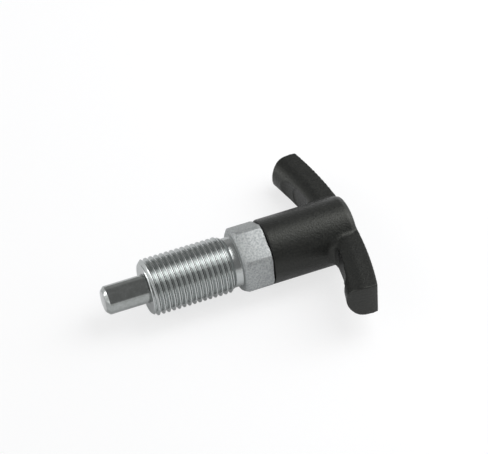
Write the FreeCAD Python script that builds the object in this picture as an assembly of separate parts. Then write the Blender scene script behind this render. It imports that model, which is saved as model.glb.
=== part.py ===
import FreeCAD, Part
import math
import os

from FreeCAD import Vector

# Indexing plunger with a T-handle, in millimetres. The axis of the pin is X and its nose points
# along +X. The origin is on the axis, in the front face of the hexagon, which seats on the panel
# that the plunger is screwed into. The handle's arms are drawn along Y and then rolled about the
# axis with the hexagon, as the plunger lies on a table: on its hub and the tip of one arm.

# Guide body
thread_diameter = 16.0
thread_reach = 26.0
thread_chamfer = 1.0
undercut_diameter = 14.0
undercut_width = 2.8
thread_runout = 0.7
hexagon_across_flats = 17.0
hexagon_length = 8.3
hexagon_bar_diameter = 18.6
hexagon_front_chamfer = 0.7
hexagon_rear_chamfer = 0.45
hexagon_turn_deg = 33.5
neck_diameter = 13.6
neck_length = 14.0
neck_chamfer = 0.5
spring_bore_diameter = 10.4
guide_length = 18.0

# Plunger pin
pin_diameter = 8.0
pin_reach = 12.0
pin_chamfer = 1.0
collar_length = 2.5
shank_diameter = 6.0
stub_diameter = 5.0

# Bush pressed into the rear of the neck
bush_diameter = 11.4
bush_length = 3.0

# Spring
wire_diameter = 0.9
active_turns = 6.5
end_turns = 1.0
stations_per_turn = 12
wire_sides = 6

# Insert moulded into the handle
insert_diameter = 8.0
insert_length = 7.0

# Handle
hub_length = 25.2
crown_round = 1.8
handle_width = 58.5
back_arch_radius = 112.7
arm_height = 10.2
arm_depth = 8.5
arm_nose = 4.8
arm_end_bulge = 0.9
arm_end_lean = 0.4
root_fillet = 2.0
finger_depth = 7.4
finger_half_length = 19.0
finger_ramp_radius = 9.0
relief_depth = 0.3
relief_half_length = 18.7
relief_half_width = 4.0

# Clearances, on the radius or between faces
running_clearance = 0.03
collar_clearance = 0.2
spring_clearance = 0.3
neck_clearance = 0.25
stop_gap = 0.05
handle_gap = 0.25
seat_gap = 0.05
hub_step = 0.1

# The hub is as thick as the bar that the hexagon is milled from, less a small step
hub_diameter = hexagon_bar_diameter - 2 * hub_step

# Places along the axis
body_front = thread_reach
hexagon_rear = -hexagon_length
neck_rear = hexagon_rear - neck_length
chamber_front = body_front - guide_length
bush_front = neck_rear + bush_length
pin_tip = body_front + pin_reach
collar_front = chamber_front - stop_gap
collar_rear = collar_front - collar_length
hub_front = hexagon_rear - handle_gap
crown = hub_front - hub_length
arch_centre = crown + back_arch_radius
arm_sweep = math.asin(handle_width / 2 / back_arch_radius)
tip_corner = math.hypot(handle_width / 2, arm_height / 2)
rest_roll_deg = math.degrees(math.asin(hub_diameter / 2 / tip_corner)
                             - math.asin(arm_height / 2 / tip_corner))
hollow_rear = neck_rear - handle_gap
insert_rear = hollow_rear - insert_length

along_axis = Vector(1, 0, 0)
upward = Vector(0, 0, 1)

# What tools and sweeps have in length beyond the shape, and the slack of the finger cut
arm_spare = 3.0
tool_spare = 0.5
cut_slack = 0.002


def turned(profile):
    """Revolve a closed profile of (place along the axis, radius) points about the axis."""
    points = [Vector(x, 0, r) for x, r in profile]
    wire = Part.makePolygon(points + points[:1])
    return Part.Face(wire).revolve(Vector(0, 0, 0), along_axis, 360)


def guide_body():
    thread_radius = thread_diameter / 2
    undercut = undercut_diameter / 2
    bar = hexagon_bar_diameter / 2
    flat = hexagon_across_flats / 2
    neck = neck_diameter / 2
    guide_bore = pin_diameter / 2 + running_clearance
    spring_bore = spring_bore_diameter / 2
    bush = bush_diameter / 2
    blank = turned([
        (body_front, guide_bore + thread_chamfer / 4),
        (body_front, thread_radius - thread_chamfer),
        (body_front - thread_chamfer, thread_radius),
        (undercut_width, thread_radius),
        (undercut_width - thread_runout, undercut),
        (0, undercut),
        (0, flat - hexagon_front_chamfer / 4),
        (-hexagon_front_chamfer, bar),
        (hexagon_rear + hexagon_rear_chamfer, bar),
        (hexagon_rear, bar - hexagon_rear_chamfer),
        (hexagon_rear, neck),
        (neck_rear + neck_chamfer, neck),
        (neck_rear, neck - neck_chamfer),
        (neck_rear, bush),
        (bush_front, bush),
        (bush_front, spring_bore),
        (chamber_front, spring_bore),
        (chamber_front, guide_bore),
        (body_front - thread_chamfer / 4, guide_bore),
    ])
    corner = flat / math.cos(math.radians(30))
    corners = []
    for step in range(6):
        angle = math.radians(rest_roll_deg + hexagon_turn_deg + 60 * step)
        corners.append(Vector(hexagon_rear, corner * math.cos(angle), corner * math.sin(angle)))
    hexagon = Part.Face(Part.makePolygon(corners + corners[:1])).extrude(
        along_axis * hexagon_length)
    envelope = hexagon.fuse(Part.makeCylinder(
        thread_radius, thread_reach, Vector(0, 0, 0), along_axis))
    envelope = envelope.fuse(Part.makeCylinder(
        neck, neck_length, Vector(neck_rear, 0, 0), along_axis))
    return blank.common(envelope)


def rear_bush():
    outer = bush_diameter / 2
    bore = shank_diameter / 2 + running_clearance
    return turned([
        (bush_front, bore),
        (bush_front, outer),
        (neck_rear, outer),
        (neck_rear, bore),
    ])


def plunger_pin():
    pin = pin_diameter / 2
    collar = spring_bore_diameter / 2 - collar_clearance
    shank = shank_diameter / 2
    stub = stub_diameter / 2
    return turned([
        (pin_tip, 0),
        (pin_tip, pin - pin_chamfer),
        (pin_tip - pin_chamfer, pin),
        (collar_front, pin),
        (collar_front, collar),
        (collar_rear, collar),
        (collar_rear, shank),
        (hollow_rear, shank),
        (hollow_rear, stub),
        (insert_rear, stub),
        (insert_rear, 0),
    ])


def plunger_spring():
    """Round wire as a many-sided ruled loft, with one closed turn at each end."""
    wire = wire_diameter / 2
    radius = spring_bore_diameter / 2 - spring_clearance - wire
    front = collar_rear - seat_gap - wire
    rear = bush_front + seat_gap + wire
    closed = end_turns * wire_diameter * 1.05
    turns = active_turns + 2 * end_turns
    stations = round(turns * stations_per_turn)
    sections = []
    for station in range(stations + 1):
        turn = turns * station / stations
        if turn < end_turns:
            along = closed * turn / end_turns
        elif turn > turns - end_turns:
            along = front - rear - closed * (turns - turn) / end_turns
        else:
            along = closed + (front - rear - 2 * closed) * (turn - end_turns) / active_turns
        angle = 2 * math.pi * turn
        outward = Vector(0, math.cos(angle), math.sin(angle))
        centre = along_axis * (rear + along) + outward * radius
        corners = []
        for side in range(wire_sides):
            lean = 2 * math.pi * (side + 0.5) / wire_sides
            corners.append(centre + outward * (wire * math.cos(lean)) + along_axis * (wire * math.sin(lean)))
        sections.append(Part.makePolygon(corners + corners[:1]))
    return Part.makeLoft(sections, True, True)


def handle_insert():
    outer = insert_diameter / 2
    stub = stub_diameter / 2
    return turned([
        (hollow_rear, stub),
        (hollow_rear, outer),
        (insert_rear, outer),
        (insert_rear, stub),
    ])


def on_arch(depth, turn=0.0, z=0.0):
    """Point at a depth from the back wall, turned (radians) about the centre of the arch."""
    reach = back_arch_radius - depth
    return Vector(arch_centre - reach * math.cos(turn), reach * math.sin(turn), z)


def edges_on_hub(shape):
    """Edges on the round wall of the hub, near the arms."""
    found = []
    for edge in shape.Edges:
        span = edge.LastParameter - edge.FirstParameter
        points = [edge.valueAt(edge.FirstParameter + span * step / 8) for step in range(9)]
        off_wall = max(abs(math.hypot(point.y, point.z) - hub_diameter / 2) for point in points)
        rear = min(point.x for point in points)
        front = max(point.x for point in points)
        if off_wall < 0.02 and rear > crown - 2 * arm_spare and crown < front < crown + 2 * arm_depth:
            found.append(edge)
    return found


def arms():
    """Both arms in one sweep: a D-shaped section turned about the centre of the back arch.

    They start out deeper than the back wall, which is trimmed once their roots are rounded.
    """
    half = arm_height / 2
    shoulder = arm_depth - arm_nose
    diagonal = math.sqrt(0.5)
    top_back = on_arch(-arm_spare, 0, half)
    top_front = on_arch(shoulder, 0, half)
    nose_top = on_arch(shoulder + arm_nose * diagonal, 0, half * diagonal)
    nose = on_arch(arm_depth)

    def low(point):
        return Vector(point.x, point.y, -point.z)

    section = Part.Wire([
        Part.makeLine(low(top_back), top_back),
        Part.makeLine(top_back, top_front),
        Part.Arc(top_front, nose_top, nose).toShape(),
        Part.Arc(nose, low(nose_top), low(top_front)).toShape(),
        Part.makeLine(low(top_front), low(top_back)),
    ])
    centre = Vector(arch_centre, 0, 0)
    turn_deg = math.degrees(arm_sweep) + 2
    section.rotate(centre, upward, turn_deg)
    return Part.Face(section).revolve(centre, upward, -2 * turn_deg).common(arm_ends())


def arm_ends():
    """Block as long as the arms, with bulging ends, that the sweep is trimmed to."""
    far_end, near_end = [
        [on_arch(0, side * arm_sweep),
         on_arch(arm_depth / 2, side * (arm_sweep + arm_end_bulge / back_arch_radius)),
         on_arch(arm_depth + 0.5, side * (arm_sweep - arm_end_lean / back_arch_radius))]
        for side in (-1, 1)]
    far_back = on_arch(-2 * arm_spare, -arm_sweep)
    near_back = on_arch(-2 * arm_spare, arm_sweep)
    outline = Part.Wire([
        Part.Arc(*far_end).toShape(),
        Part.makeLine(far_end[2], near_end[2]),
        Part.Arc(*reversed(near_end)).toShape(),
        Part.makeLine(near_end[0], near_back),
        Part.Arc(near_back, on_arch(-2 * arm_spare), far_back).toShape(),
        Part.makeLine(far_back, far_end[0]),
    ])
    outline.translate(upward * -arm_height)
    return Part.Face(outline).extrude(upward * (2 * arm_height))


def finger_cut():
    """What the two finger flats take off the noses of the arms, with a round ramp at each tip."""
    flat_turn = finger_half_length / (back_arch_radius - finger_depth)
    ramp_reach = back_arch_radius - finger_depth - finger_ramp_radius
    ramps = []
    for side in (-1, 1):
        turn = side * flat_turn
        centre = Vector(arch_centre - ramp_reach * math.cos(turn), ramp_reach * math.sin(turn), 0)
        ramp = []
        for lean in (0, 45, 90):
            lean_turn = turn + side * math.radians(lean)
            outward = Vector(-math.cos(lean_turn), math.sin(lean_turn), 0)
            ramp.append(centre + outward * finger_ramp_radius)
        ramps.append(ramp)
    low, high = ramps
    outline = Part.Wire([
        Part.Arc(low[0], on_arch(finger_depth), high[0]).toShape(),
        Part.Arc(*high).toShape(),
        Part.makeLine(high[2], low[2]),
        Part.Arc(low[2], low[1], low[0]).toShape(),
    ])
    height = arm_height / 2 + root_fillet + tool_spare
    outline.translate(upward * -height)
    block = Part.Face(outline).extrude(upward * (2 * height))
    hub = Part.makeCylinder(hub_diameter / 2, 3 * hub_length, Vector(crown, 0, 0), along_axis)
    block = block.cut(hub)
    return block.makeFillet(root_fillet, edges_on_hub(block))


def relief_cut():
    """Shallow slot-shaped reliefs in the finger flats, one on each side of the hub."""
    half = relief_half_width
    straight = relief_half_length - half
    slot = Part.Wire([
        Part.makeLine(Vector(hub_front, -straight, half), Vector(hub_front, straight, half)),
        Part.Arc(Vector(hub_front, straight, half), Vector(hub_front, relief_half_length, 0),
                 Vector(hub_front, straight, -half)).toShape(),
        Part.makeLine(Vector(hub_front, straight, -half), Vector(hub_front, -straight, -half)),
        Part.Arc(Vector(hub_front, -straight, -half), Vector(hub_front, -relief_half_length, 0),
                 Vector(hub_front, -straight, half)).toShape(),
    ])
    block = Part.Face(slot).extrude(along_axis * -hub_length)
    floor = Part.makeCylinder(back_arch_radius - finger_depth + relief_depth, 2 * hub_diameter,
                              Vector(arch_centre, 0, -hub_diameter), upward)
    keep_clear = Part.makeCylinder(hub_diameter / 2 + root_fillet, hub_length,
                                   Vector(crown, 0, 0), along_axis)
    return block.common(floor).cut(keep_clear)


def rounded_rim():
    """What the rounding of the crown takes off the hub, above and below the arms.

    Its two slopes run on past the wall of the hub, so that they cross it and don't just touch it.
    """
    rim = hub_diameter / 2
    root = rim + root_fillet
    inner = rim - crown_round
    bend = crown_round * (1 - math.sqrt(0.5))
    past = 1.2
    ring = turned([
        (crown, inner),
        (crown + bend, rim - bend),
        (crown + bend + past * (crown_round - bend), rim - bend + past * bend),
        (crown + root * root / (2 * back_arch_radius), root),
        (crown - 1, root),
        (crown - 1, inner),
    ])
    arm_band = Part.makeBox(hub_length, 4 * rim, arm_height,
                            Vector(crown - 1, -2 * rim, -arm_height / 2))
    return ring.cut(arm_band)


def t_handle():
    rim = hub_diameter / 2
    behind = crown - 2 * arm_spare
    hub = Part.makeCylinder(rim, hub_front - behind, Vector(behind, 0, 0), along_axis)
    solid = hub.fuse(arms())
    solid = solid.makeFillet(root_fillet, edges_on_hub(solid))
    back = Part.makeCylinder(back_arch_radius, 2 * hub_diameter,
                             Vector(arch_centre, 0, -hub_diameter), upward)
    solid = solid.common(back).cut([finger_cut()], cut_slack)
    solid = solid.cut(rounded_rim()).cut(relief_cut())
    inside = neck_diameter / 2 + neck_clearance
    solid = solid.cut(turned([
        (hub_front, 0),
        (hub_front, inside),
        (hollow_rear, inside),
        (hollow_rear, 0),
    ]))
    insert_core = Part.makeCylinder(stub_diameter / 2, insert_length,
                                    Vector(insert_rear, 0, 0), along_axis)
    solid = solid.cut(handle_insert().fuse(insert_core))
    solid.rotate(Vector(0, 0, 0), along_axis, rest_roll_deg)
    return solid


pieces = {
    "guide_body": guide_body,
    "rear_bush": rear_bush,
    "plunger_pin": plunger_pin,
    "plunger_spring": plunger_spring,
    "handle_insert": handle_insert,
    "t_handle": t_handle,
}

os.makedirs("parts", exist_ok=True)
for name, make in pieces.items():
    shape = make()
    shape.exportStep("parts/" + name + ".step")
    print(name, "valid" if shape.isValid() else "NOT VALID", len(shape.Solids), "solid",
          round(shape.Volume, 1), "mm3")
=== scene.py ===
import bpy
import math
import mathutils
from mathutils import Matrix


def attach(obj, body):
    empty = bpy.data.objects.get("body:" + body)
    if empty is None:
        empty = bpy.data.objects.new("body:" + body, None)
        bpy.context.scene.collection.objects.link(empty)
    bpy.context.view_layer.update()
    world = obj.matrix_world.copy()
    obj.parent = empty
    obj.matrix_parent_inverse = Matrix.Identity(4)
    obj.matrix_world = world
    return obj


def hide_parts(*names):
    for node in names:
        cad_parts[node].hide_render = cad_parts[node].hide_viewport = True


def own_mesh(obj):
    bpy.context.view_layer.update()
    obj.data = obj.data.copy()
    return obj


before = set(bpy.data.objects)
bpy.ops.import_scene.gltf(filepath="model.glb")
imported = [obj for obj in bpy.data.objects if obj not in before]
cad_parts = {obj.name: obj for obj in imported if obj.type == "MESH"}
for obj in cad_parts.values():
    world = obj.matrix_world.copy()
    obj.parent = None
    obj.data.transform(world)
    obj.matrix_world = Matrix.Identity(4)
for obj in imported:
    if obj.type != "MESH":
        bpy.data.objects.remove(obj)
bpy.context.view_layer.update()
mm = 0.001
turnSteps = 144
print("loaded the frame:", ", ".join(sorted(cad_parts)))


def deselectAll():
    if bpy.context.object and bpy.context.object.mode != "OBJECT":
        bpy.ops.object.mode_set(mode="OBJECT")
    bpy.ops.object.select_all(action="DESELECT")


def activate(piece):
    deselectAll()
    piece.select_set(True)
    bpy.context.view_layer.objects.active = piece


def applyPlace(piece):
    activate(piece)
    bpy.ops.object.transform_apply(location=True, rotation=True, scale=True)


def applyModifier(piece, kind, **settings):
    activate(piece)
    modifier = piece.modifiers.new(kind.title(), kind)
    for name, value in settings.items():
        setattr(modifier, name, value)
    bpy.ops.object.modifier_apply(modifier=modifier.name)


def combine(piece, tool, operation):
    applyModifier(piece, "BOOLEAN", object=tool, operation=operation, solver="EXACT")
    bpy.data.objects.remove(tool)  # used up


def smoothByAngle(piece, degrees):
    activate(piece)
    bpy.ops.object.shade_smooth_by_angle(angle=math.radians(degrees))


# one chain of edges through (x, r) points in millimetres, extruded from a single corner
def drawProfile(name, points, closed=False):
    deselectAll()
    bpy.ops.mesh.primitive_plane_add(size=mm, location=(0, 0, 0))
    piece = bpy.context.object
    piece.name = name
    bpy.ops.object.mode_set(mode="EDIT")
    bpy.ops.mesh.select_all(action="SELECT")
    bpy.ops.mesh.merge(type="CENTER")
    x, r = points[0]
    bpy.ops.transform.translate(value=(x * mm, 0, r * mm))
    for nextX, nextR in points[1:]:
        step = ((nextX - x) * mm, 0, (nextR - r) * mm)
        bpy.ops.mesh.extrude_region_move(TRANSFORM_OT_translate={"value": step})
        x, r = nextX, nextR
    if closed:
        bpy.ops.mesh.select_all(action="DESELECT")
        bpy.ops.object.mode_set(mode="OBJECT")
        piece.data.vertices[0].select = True
        piece.data.vertices[-1].select = True
        bpy.ops.object.mode_set(mode="EDIT")
        bpy.ops.mesh.edge_face_add()
    bpy.ops.object.mode_set(mode="OBJECT")
    return piece


# a profile spun about the axis of the pin, as on a lathe
def turnPiece(name, points, closed=False):
    piece = drawProfile(name, points, closed)
    bpy.ops.object.mode_set(mode="EDIT")
    bpy.ops.mesh.select_all(action="SELECT")
    bpy.ops.mesh.spin(steps=turnSteps, angle=math.tau, center=(0, 0, 0), axis=(1, 0, 0))
    bpy.ops.mesh.select_all(action="SELECT")
    bpy.ops.mesh.remove_doubles(threshold=0.002 * mm)
    bpy.ops.mesh.normals_make_consistent(inside=False)
    bpy.ops.object.mode_set(mode="OBJECT")
    return piece


# the camera stands at the photograph's view
cameraSettings = {
    "place": (0.145513, 0.378832, 0.507726),
    "turnDeg": (39.4535, 0.0815, 158.5250),
    "lens": 175.577,
    "sensorWidth": 36,
    "clipStart": 0.01,
}
bpy.ops.object.camera_add(
    location=cameraSettings["place"],
    rotation=[math.radians(angle) for angle in cameraSettings["turnDeg"]])
camera = bpy.context.object
camera.data.lens = cameraSettings["lens"]
camera.data.sensor_width = cameraSettings["sensorWidth"]
camera.data.clip_start = cameraSettings["clipStart"]
bpy.context.scene.camera = camera
print("camera set")


# guide body: thread, undercut, hexagon and neck on one bored core, in millimetres
guideSettings = {
    "threadPitch": 1.5,
    "threadRadius": 8.0,
    "threadRoot": 7.08,
    "threadLand": 0.22,
    "threadStart": -1.25,
    "threadFront": 26.0,
    "threadChamfer": 1.0,
    "grooveRound": ((0, 0), (0.10, 0.02), (0.18, 0.11)),  # from the groove's middle and root
    "crestRound": ((-0.06, -0.08), (-0.03, -0.025), (0.02, 0)),  # from the land's corner
    "screwTurns": 19,
    "screwSteps": 96,
    "screwCuts": (1.203, 26.603),  # no corner of the screw lies in these planes
    "sleeveInner": 6.0,
    "sleeveSpare": 0.1,
    "undercut": 7.0,
    "undercutWidth": 2.8,
    "undercutCurve": ((2.0, 0), (0.35, 0), (0.08, 0.1), (-0.2, 0.5)),  # r is above the undercut
    "threadRunout": 0.7,
    "fadingTurn": 1.0,
    "hexagonFlats": 17.0,
    "hexagonLength": 8.3,
    "hexagonTurnDeg": 32.3 + 8.16,  # the second number is the roll of the part as it lies
    "hexagonChamfer": 0.95,
    "hexagonRearChamfer": 0.45,
    "hexagonBore": 6.2,
    "seatRadius": 8.25,
    "barRadius": 9.5,
    "coreRadius": 6.7,
    "coreRear": 2.3,
    "coreSetBack": 0.01,  # behind the thread's front face
    "boreRadius": 4.03,
    "boreChamfer": 0.25,
    "chamberRadius": 5.2,
    "chamberFront": 8.0,
    "bushRadius": 5.7,
    "bushFront": -19.3,
    "neckRadius": 6.8,
    "neckRear": -22.3,
    "neckChamfer": 0.5,
    "neckOverlap": 0.3,
    "edgeRound": 0.16,
    "sharpDeg": 18,
    "smoothDeg": 34,
}


def makeThread(settings):
    pitch = settings["threadPitch"]
    root = settings["threadRoot"]
    top = settings["threadRadius"]
    land = pitch / 2 - settings["threadLand"] / 2  # where a land begins, from the groove's middle
    halfTooth = [(x, root + r) for x, r in settings["grooveRound"]]
    halfTooth += [(land + x, top + r) for x, r in settings["crestRound"]]
    halfTooth += [(pitch / 2, top)]
    tooth = halfTooth + [(pitch - x, r) for x, r in reversed(halfTooth[:-1])]
    thread = drawProfile("thread", [(x + settings["threadStart"], r) for x, r in tooth])
    applyModifier(thread, "SCREW", axis="X", angle=math.tau, screw_offset=pitch * mm,
                  iterations=settings["screwTurns"], steps=settings["screwSteps"],
                  render_steps=settings["screwSteps"])
    activate(thread)
    bpy.ops.object.mode_set(mode="EDIT")
    bpy.ops.mesh.select_all(action="SELECT")
    bpy.ops.mesh.remove_doubles(threshold=0.005 * mm)
    for x, outward in zip(settings["screwCuts"], (-1, 1)):
        bpy.ops.mesh.select_all(action="SELECT")
        bpy.ops.mesh.bisect(plane_co=(x * mm, 0, 0), plane_no=(outward, 0, 0), use_fill=True,
                            clear_outer=True, threshold=0.0001 * mm)
    bpy.ops.mesh.select_all(action="SELECT")
    bpy.ops.mesh.normals_make_consistent(inside=False)
    bpy.ops.object.mode_set(mode="OBJECT")
    front = settings["threadFront"]
    chamfer = settings["threadChamfer"]
    spare = settings["sleeveSpare"]
    inner = settings["sleeveInner"]
    runout = settings["undercutWidth"] - settings["threadRunout"]
    sleeve = turnPiece("sleeve", [
        (front, inner),
        (front, top - chamfer),
        (front - chamfer - spare, top + spare),
        (settings["undercutWidth"] + settings["fadingTurn"], top + spare),
        (runout, settings["undercut"] - spare),
        (runout, inner),
    ], closed=True)
    combine(thread, sleeve, "INTERSECT")
    return thread


def makeHexagon(settings):
    flat = settings["hexagonFlats"] / 2
    length = settings["hexagonLength"]
    seat = settings["seatRadius"]
    bar = settings["barRadius"]
    rearChamfer = settings["hexagonRearChamfer"]
    bore = settings["hexagonBore"]
    past = rearChamfer + 0.1  # the rear cone runs on behind the hexagon
    deselectAll()
    bpy.ops.mesh.primitive_cylinder_add(
        vertices=6, radius=flat / math.cos(math.radians(30)) * mm, depth=length * mm,
        location=(-length / 2 * mm, 0, 0), rotation=(0, math.radians(90), 0))
    hexagon = bpy.context.object
    hexagon.name = "hexagon"
    applyPlace(hexagon)
    hexagon.rotation_euler.x = math.radians(settings["hexagonTurnDeg"])
    applyPlace(hexagon)
    envelope = turnPiece("envelope", [
        (1, 0),
        (1, seat - 1),
        (0, seat),
        (-settings["hexagonChamfer"], bar),
        (rearChamfer - length, bar),
        (-length - past, bar - 1),
        (-length - past, 0),
    ])
    combine(hexagon, envelope, "INTERSECT")
    hole = turnPiece("hole", [(2, 0), (2, bore), (-length - 1, bore), (-length - 1, 0)])
    combine(hexagon, hole, "DIFFERENCE")
    return hexagon


# rounds the sharp edges that lie wholly between two places along the axis
def softenEdges(piece, rear, front, width, sharpDeg):
    activate(piece)
    bpy.ops.object.mode_set(mode="EDIT")
    bpy.ops.mesh.select_all(action="SELECT")
    bpy.ops.mesh.remove_doubles(threshold=0.001 * mm)
    bpy.ops.mesh.select_mode(type="EDGE")
    bpy.ops.mesh.select_all(action="DESELECT")
    bpy.ops.mesh.edges_select_sharp(sharpness=math.radians(sharpDeg))
    bpy.ops.object.mode_set(mode="OBJECT")
    for face in piece.data.polygons:  # a selected face would select its edges again
        face.select = False
    for edge in piece.data.edges:
        ends = [piece.data.vertices[index].co.x for index in edge.vertices]
        edge.select = edge.select and rear * mm < min(ends) and max(ends) < front * mm
    bpy.ops.object.mode_set(mode="EDIT")
    bpy.ops.mesh.bevel(offset=width * mm, segments=3, affect="EDGES")
    bpy.ops.mesh.select_mode(type="VERT")
    bpy.ops.object.mode_set(mode="OBJECT")


def makeGuide(settings):
    under = settings["undercut"]
    length = settings["hexagonLength"]
    front = settings["threadFront"]
    face = front - settings["coreSetBack"]
    bore = settings["boreRadius"]
    core = settings["coreRadius"]
    neck = settings["neckRadius"]
    neckRear = settings["neckRear"]
    neckChamfer = settings["neckChamfer"]
    overlap = settings["neckOverlap"]
    curve = [(x, under + r) for x, r in settings["undercutCurve"]]
    body = turnPiece("guideBody", [
        (face, bore + settings["boreChamfer"]),
        (face, core),
        (settings["coreRear"], core),
        *curve,
        (overlap - length, curve[-1][1]),
        (overlap - length, neck),
        (neckRear + neckChamfer, neck),
        (neckRear, neck - neckChamfer),
        (neckRear, settings["bushRadius"]),
        (settings["bushFront"], settings["bushRadius"]),
        (settings["bushFront"], settings["chamberRadius"]),
        (settings["chamberFront"], settings["chamberRadius"]),
        (settings["chamberFront"], bore),
        (front - settings["boreChamfer"], bore),
    ], closed=True)
    combine(body, makeHexagon(settings), "UNION")
    combine(body, makeThread(settings), "UNION")
    softenEdges(body, -length - 0.01, 0.01, settings["edgeRound"], settings["sharpDeg"])
    smoothByAngle(body, settings["smoothDeg"])
    return body


guideBody = makeGuide(guideSettings)
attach(guideBody, "guide")
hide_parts("guide_body")
print("guide body made:", len(guideBody.data.polygons), "faces")


# pin: nose, stop collar, shank and stub
pinSettings = {
    "radius": 4.0,
    "tip": 38.0,
    "chamfer": 1.0,
    "collarFront": 7.95,
    "collarRear": 5.45,
    "collarRadius": 5.0,
    "shankRear": -22.55,
    "shankRadius": 3.0,
    "stubRear": -29.55,
    "stubRadius": 2.5,
    "edgeRound": 0.14,
    "sharpDeg": 20,
    "smoothDeg": 30,
}


def makePin(settings):
    radius = settings["radius"]
    tip = settings["tip"]
    chamfer = settings["chamfer"]
    pin = turnPiece("plungerPin", [
        (tip, 0),
        (tip, radius - chamfer),
        (tip - chamfer, radius),
        (settings["collarFront"], radius),
        (settings["collarFront"], settings["collarRadius"]),
        (settings["collarRear"], settings["collarRadius"]),
        (settings["collarRear"], settings["shankRadius"]),
        (settings["shankRear"], settings["shankRadius"]),
        (settings["shankRear"], settings["stubRadius"]),
        (settings["stubRear"], settings["stubRadius"]),
        (settings["stubRear"], 0),
    ])
    applyModifier(pin, "BEVEL", width=settings["edgeRound"] * mm, segments=3,
                  limit_method="ANGLE", angle_limit=math.radians(settings["sharpDeg"]))
    smoothByAngle(pin, settings["smoothDeg"])
    return pin


plungerPin = makePin(pinSettings)
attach(plungerPin, "plunger")
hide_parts("plunger_pin")
print("pin made")


# spring, built at its rest length; the real one shortens as the pin is pulled back
springSettings = {
    "wire": 0.45,
    "radius": 4.45,
    "rear": -18.8,
    "front": 4.95,
    "activeTurns": 6.5,
    "closedStep": 0.945,
    "pointsPerTurn": 16,
    "pulledShare": 0.51,
    "smoothDeg": 40,
}


def makeSpring(settings):
    active = settings["activeTurns"]
    turns = active + 2
    closed = settings["closedStep"]
    span = settings["front"] - settings["rear"]
    radius = settings["radius"]
    count = round(turns * settings["pointsPerTurn"]) + 1
    deselectAll()
    bpy.ops.curve.primitive_nurbs_path_add(location=(0, 0, 0))
    spring = bpy.context.object
    spring.name = "returnSpring"
    path = spring.data.splines[0]
    path.points.add(count - len(path.points))
    for index, point in enumerate(path.points):
        turn = turns * index / (count - 1)
        along = closed * min(turn, 1) + closed * max(turn - turns + 1, 0)
        along += (span - 2 * closed) * min(max(turn - 1, 0), active) / active
        angle = math.tau * turn
        point.co = ((settings["rear"] + along) * mm, radius * mm * math.cos(angle),
                    radius * mm * math.sin(angle), 1)
    path.order_u = 3
    path.use_endpoint_u = True
    path.resolution_u = 2
    spring.data.bevel_depth = settings["wire"] * mm
    spring.data.bevel_resolution = 3
    spring.data.use_fill_caps = True
    bpy.ops.object.convert(target="MESH")
    bpy.ops.object.mode_set(mode="EDIT")
    bpy.ops.mesh.select_all(action="SELECT")
    bpy.ops.mesh.remove_doubles(threshold=0.001 * mm)
    bpy.ops.mesh.normals_make_consistent(inside=False)
    bpy.ops.object.mode_set(mode="OBJECT")
    smoothByAngle(spring, settings["smoothDeg"])
    return spring


returnSpring = makeSpring(springSettings)
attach(returnSpring, "spring")
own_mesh(returnSpring)
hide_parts("plunger_spring")
print("spring made")


# handle: the moulding's edges are softened all over
handleSettings = {"rollDeg": 8.16, "cell": 0.24, "smoothing": 0.5, "smoothSteps": 5}


def makeHandle(settings):
    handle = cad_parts["t_handle"].copy()
    handle.data = handle.data.copy()
    handle.name = "tHandle"
    handle.parent = None
    for name in list(handle.keys()):
        del handle[name]
    bpy.context.scene.collection.objects.link(handle)
    activate(handle)
    bpy.ops.object.mode_set(mode="EDIT")
    bpy.ops.mesh.select_all(action="SELECT")
    bpy.ops.mesh.remove_doubles(threshold=0.001 * mm)
    bpy.ops.object.mode_set(mode="OBJECT")
    # the arms lie level while the cells are laid, so that fewer of their edges cross the cells
    handle.rotation_euler.x = -math.radians(settings["rollDeg"])
    applyPlace(handle)
    applyModifier(handle, "REMESH", mode="VOXEL", voxel_size=settings["cell"] * mm,
                  use_smooth_shade=True)
    applyModifier(handle, "SMOOTH", factor=settings["smoothing"],
                  iterations=settings["smoothSteps"])
    handle.rotation_euler.x = math.radians(settings["rollDeg"])
    applyPlace(handle)
    return handle


tHandle = makeHandle(handleSettings)
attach(tHandle, "plunger")
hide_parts("t_handle")
print("handle made:", len(tHandle.data.polygons), "faces")


# a socket's value, so that shader maths reads as an expression
class Signal:
    def __init__(self, graph, socket):
        self.graph = graph
        self.socket = socket

    def __add__(self, other):
        return self.graph.add("ShaderNodeMath", {"operation": "ADD"}, [self, other])

    def __radd__(self, other):
        return self + other

    def __rsub__(self, other):
        return self.graph.add("ShaderNodeMath", {"operation": "SUBTRACT"}, [other, self])

    def __mul__(self, other):
        return self.graph.add("ShaderNodeMath", {"operation": "MULTIPLY"}, [self, other])

    def __rmul__(self, other):
        return self * other


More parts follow.
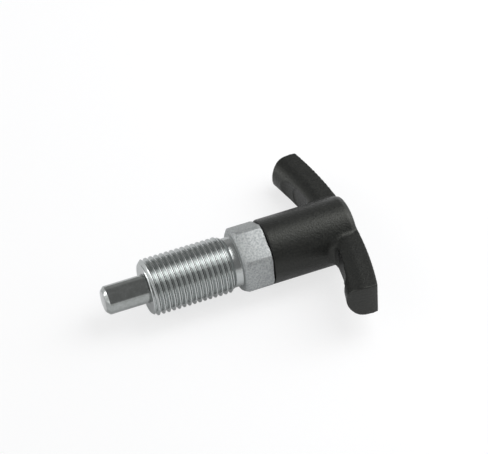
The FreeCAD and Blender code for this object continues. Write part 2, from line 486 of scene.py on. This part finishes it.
# sizes of patterns are in millimetres on the piece, and a grain is its size, detail and roughness
class Graph:
    def __init__(self, tree):
        self.tree = tree

    def plug(self, value, socket):
        if isinstance(value, Signal):
            self.tree.links.new(value.socket, socket)
        else:
            socket.default_value = value

    def add(self, kind, settings, inputs, output=0):
        node = self.tree.nodes.new(kind)
        for name, value in settings.items():
            setattr(node, name, value)
        for key, value in inputs.items() if isinstance(inputs, dict) else enumerate(inputs):
            self.plug(value, node.inputs[key])
        return Signal(self, node.outputs[output])

    def place(self):
        return self.add("ShaderNodeTexCoord", {}, {}, "Object")

    def grain(self, size, detail, roughness):
        return self.add("ShaderNodeTexNoise", {}, {
            "Vector": self.place(), "Scale": 1 / (size * mm), "Detail": detail,
            "Roughness": roughness}, "Fac")

    def along(self):
        return self.add("ShaderNodeSeparateXYZ", {}, [self.place()], "X")

    # turning marks: noise that changes along the axis only
    def rings(self, size):
        return self.add("ShaderNodeTexNoise", {"noise_dimensions": "1D"}, {
            "W": self.along() * (1 / (size * mm)), "Detail": 2.0}, "Fac")

    def rise(self, value, low, high):
        return self.add("ShaderNodeMapRange", {"interpolation_type": "SMOOTHSTEP"}, {
            "Value": value, "From Min": low, "From Max": high})

    def blend(self, share, colorA, colorB):
        return self.add("ShaderNodeMix", {"data_type": "RGBA"}, {
            0: share, 6: colorA, 7: colorB}, 2)

    def bump(self, height, distance, strength):
        return self.add("ShaderNodeBump", {}, {
            "Height": height, "Distance": distance * mm, "Strength": strength})


def newMaterial(name):
    material = bpy.data.materials.new(name)
    material.use_nodes = True
    return material, Graph(material.node_tree), material.node_tree.nodes["Principled BSDF"].inputs


def dress(piece, material):
    piece.data.materials.clear()
    piece.data.materials.append(material)


# zinc: dull and mottled on the hexagon and behind it, turned and bright in front
zincSettings = {
    "dullColors": ((0.32, 0.335, 0.335, 1), (0.45, 0.465, 0.465, 1)),
    "turnedColors": ((0.42, 0.44, 0.435, 1), (0.5, 0.52, 0.515, 1)),
    "edgeTint": (0.75, 0.75, 0.75, 1),
    "dullFrom": (-0.05, 0.25),
    "patchGrain": (0.5, 3, 0.6),
    "patchFade": (0.3, 0.7),
    "ringSize": 0.12,
    "roughness": 0.17,
    "ringRoughness": 0.06,
    "dullRoughness": 0.44,
    "patchGloss": 0.1,
    "pitGrain": (0.5, 2, 0.5),
    "ringHeight": 0.03,
    "bumpHeight": 0.05,
    "bumpStrength": 0.6,
}


def makeZinc(settings):
    material, graph, shader = newMaterial("platedSteel")
    rear, front = settings["dullFrom"]
    onHexagon = 1 - graph.rise(graph.along(), rear * mm, front * mm)
    patches = graph.rise(graph.grain(*settings["patchGrain"]), *settings["patchFade"])
    rings = graph.rings(settings["ringSize"])
    dull = graph.blend(patches, *settings["dullColors"])
    turned = graph.blend(rings, *settings["turnedColors"])
    graph.plug(graph.blend(onHexagon, turned, dull), shader["Base Color"])
    shader["Metallic"].default_value = 1
    shader["Specular Tint"].default_value = settings["edgeTint"]
    rougher = onHexagon * (settings["dullRoughness"] - settings["patchGloss"] * patches)
    graph.plug(settings["roughness"] + settings["ringRoughness"] * rings + rougher,
               shader["Roughness"])
    pits = graph.grain(*settings["pitGrain"]) * onHexagon
    lines = rings * (1 - onHexagon)
    graph.plug(graph.bump(pits + settings["ringHeight"] * lines, settings["bumpHeight"],
                          settings["bumpStrength"]), shader["Normal"])
    return material


groundSteelSettings = {
    "colors": ((0.31, 0.325, 0.315, 1), (0.37, 0.385, 0.38, 1)),
    "ringSize": 0.05,
    "stainGrain": (1.6, 4, 0.7),
    "stainFade": (0.35, 0.7),
    "roughness": 0.09,
    "ringRoughness": 0.06,
    "stainRoughness": 0.04,
    "bumpHeight": 0.002,
    "bumpStrength": 0.4,
}


def makeGroundSteel(settings):
    material, graph, shader = newMaterial("groundSteel")
    rings = graph.rings(settings["ringSize"])
    stains = graph.rise(graph.grain(*settings["stainGrain"]), *settings["stainFade"])
    graph.plug(graph.blend(stains, *settings["colors"]), shader["Base Color"])
    shader["Metallic"].default_value = 1
    graph.plug(settings["roughness"] + settings["ringRoughness"] * rings
               + settings["stainRoughness"] * stains, shader["Roughness"])
    graph.plug(graph.bump(rings, settings["bumpHeight"], settings["bumpStrength"]),
               shader["Normal"])
    return material


def makePlainMetal(name, color, roughness):
    material, _, shader = newMaterial(name)
    shader["Base Color"].default_value = color
    shader["Metallic"].default_value = 1
    shader["Roughness"].default_value = roughness
    return material


plasticSettings = {
    "colors": ((0.006, 0.0065, 0.0065, 1), (0.013, 0.0135, 0.0125, 1)),
    "speckleGrain": (0.5, 2, 0.6),
    "speckleFade": (0.35, 0.7),
    "roughness": 0.34,
    "speckleRoughness": 0.14,
    "gloss": 0.38,
    "glossTint": (0.98, 1, 0.93, 1),
    "mouldGrain": (0.55, 2, 0.6),
    "bumpHeight": 0.12,
    "bumpStrength": 0.8,
}


def makePlastic(settings):
    material, graph, shader = newMaterial("blackPlastic")
    speckle = graph.rise(graph.grain(*settings["speckleGrain"]), *settings["speckleFade"])
    graph.plug(graph.blend(speckle, *settings["colors"]), shader["Base Color"])
    graph.plug(settings["roughness"] + settings["speckleRoughness"] * speckle,
               shader["Roughness"])
    shader["Specular IOR Level"].default_value = settings["gloss"]
    shader["Specular Tint"].default_value = settings["glossTint"]
    graph.plug(graph.bump(graph.grain(*settings["mouldGrain"]), settings["bumpHeight"],
                          settings["bumpStrength"]), shader["Normal"])
    return material


plainMetalSettings = {
    "springWire": ((0.5, 0.5, 0.5, 1), 0.35),
    "bushSteel": ((0.55, 0.56, 0.57, 1), 0.3),
    "insertBrass": ((0.72, 0.55, 0.27, 1), 0.3),
}
dress(guideBody, makeZinc(zincSettings))
dress(plungerPin, makeGroundSteel(groundSteelSettings))
dress(tHandle, makePlastic(plasticSettings))
for piece, name in ((returnSpring, "springWire"), (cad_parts["rear_bush"], "bushSteel"),
                    (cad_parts["handle_insert"], "insertBrass")):
    dress(piece, makePlainMetal(name, *plainMetalSettings[name]))
print("materials made")


# the floor's height is in millimetres, and all other lengths are in metres
stageSettings = {
    "floorHeight": -9.34,
    "floorSize": 6,
    "floorColor": (0.93, 0.935, 0.95, 1),
    "floorRoughness": 0.9,
    "floorGloss": 0.1,
    "floorLift": 0.72,
    "mirroredLift": 0.22,
    "roomLevel": 0.25,
    "backWall": 0.2,
    "backTop": (0.4, 0.75),
    "backFade": (-0.3, 0.1),
    "frontWall": 0.6,
    "frontTop": (0.12, 0.3),
    "frontFade": (0.1, 0.3),
    "endWalls": 0.9,
    "endFade": (0.2, 0.56),
    "keyHeight": 0.35,
    "keyNearEdge": -0.059,
    "keyLength": 0.9,
    "keyWidth": 0.16,
    "keyAcross": -0.035,
    "keyLevel": 3.2,
    "haloWidth": 0.4,
    "haloAcross": -0.02,
    "haloLevel": 1.1,
    "glintPlace": (0.45, -0.24, 0.145),
    "glintSize": (0.13, 0.1),
    "glintLevel": 5.0,
    "glintAim": (0.038, 0, 0),
}


# a white share lifts the floor where the camera sees it, and less where the part mirrors it
def makeFloor(settings):
    deselectAll()
    bpy.ops.mesh.primitive_plane_add(
        size=settings["floorSize"], location=(0, 0, settings["floorHeight"] * mm))
    floor = bpy.context.object
    floor.name = "floor"
    material, graph, shader = newMaterial("paleFloor")
    shader["Base Color"].default_value = settings["floorColor"]
    shader["Roughness"].default_value = settings["floorRoughness"]
    shader["Specular IOR Level"].default_value = settings["floorGloss"]
    seen = graph.add("ShaderNodeLightPath", {}, {}, "Is Camera Ray")
    mirrored = graph.add("ShaderNodeLightPath", {}, {}, "Is Glossy Ray")
    share = settings["floorLift"] * seen + settings["mirroredLift"] * mirrored
    white = graph.add("ShaderNodeEmission", {}, {"Strength": 1.0})
    nodes = material.node_tree.nodes
    lit = Signal(graph, nodes["Principled BSDF"].outputs[0])
    mixed = graph.add("ShaderNodeMixShader", {}, [share, lit, white])
    graph.plug(mixed, nodes["Material Output"].inputs["Surface"])
    dress(floor, material)


# level is the brightness of the softbox's face, where a white wall is 1
def addSoftbox(name, place, size, level, aim=None):
    deselectAll()
    bpy.ops.object.light_add(type="AREA", location=place)
    light = bpy.context.object
    light.name = name
    light.data.shape = "RECTANGLE"
    light.data.size, light.data.size_y = size
    light.data.energy = 4 * level * size[0] * size[1]
    if aim:
        away = mathutils.Vector(place) - mathutils.Vector(aim)
        light.rotation_euler = away.to_track_quat("Z", "Y").to_euler()


# a dim room, lighter at both ends and low down behind and in front
def makeRoom(settings):
    world = bpy.data.worlds.new("studio")
    bpy.context.scene.world = world
    world.use_nodes = True
    room = Graph(world.node_tree)
    direction = room.add("ShaderNodeTexCoord", {}, {}, "Generated")
    endways = room.add("ShaderNodeSeparateXYZ", {}, [direction], "X")
    forward = room.add("ShaderNodeSeparateXYZ", {}, [direction], "Y")
    up = room.add("ShaderNodeSeparateXYZ", {}, [direction], "Z")
    ends = room.rise(endways * endways, *settings["endFade"])
    behind = 1 - room.rise(forward, *settings["backFade"])
    behind = (1 - room.rise(up, *settings["backTop"])) * behind
    front = room.rise(forward, *settings["frontFade"])
    front = (1 - room.rise(up, *settings["frontTop"])) * front
    level = settings["roomLevel"] + settings["endWalls"] * ends \
        + settings["backWall"] * behind + settings["frontWall"] * front
    background = world.node_tree.nodes["Background"]
    room.plug(level, background.inputs["Strength"])
    background.inputs["Color"].default_value = (1, 1, 1, 1)


# the key softbox hangs over the handle's end, and the pin's top reflects the room past its edge
def makeLights(settings):
    keyX = settings["keyNearEdge"] - settings["keyLength"] / 2
    addSoftbox("keyLight", (keyX, settings["keyAcross"], settings["keyHeight"]),
               (settings["keyLength"], settings["keyWidth"]), settings["keyLevel"])
    addSoftbox("keyHalo", (keyX, settings["haloAcross"], settings["keyHeight"]),
               (settings["keyLength"], settings["haloWidth"]), settings["haloLevel"])
    addSoftbox("glintLight", settings["glintPlace"], settings["glintSize"],
               settings["glintLevel"], aim=settings["glintAim"])


makeFloor(stageSettings)
makeRoom(stageSettings)
makeLights(stageSettings)
bpy.context.scene.view_settings.view_transform = "Standard"
print("stage set")
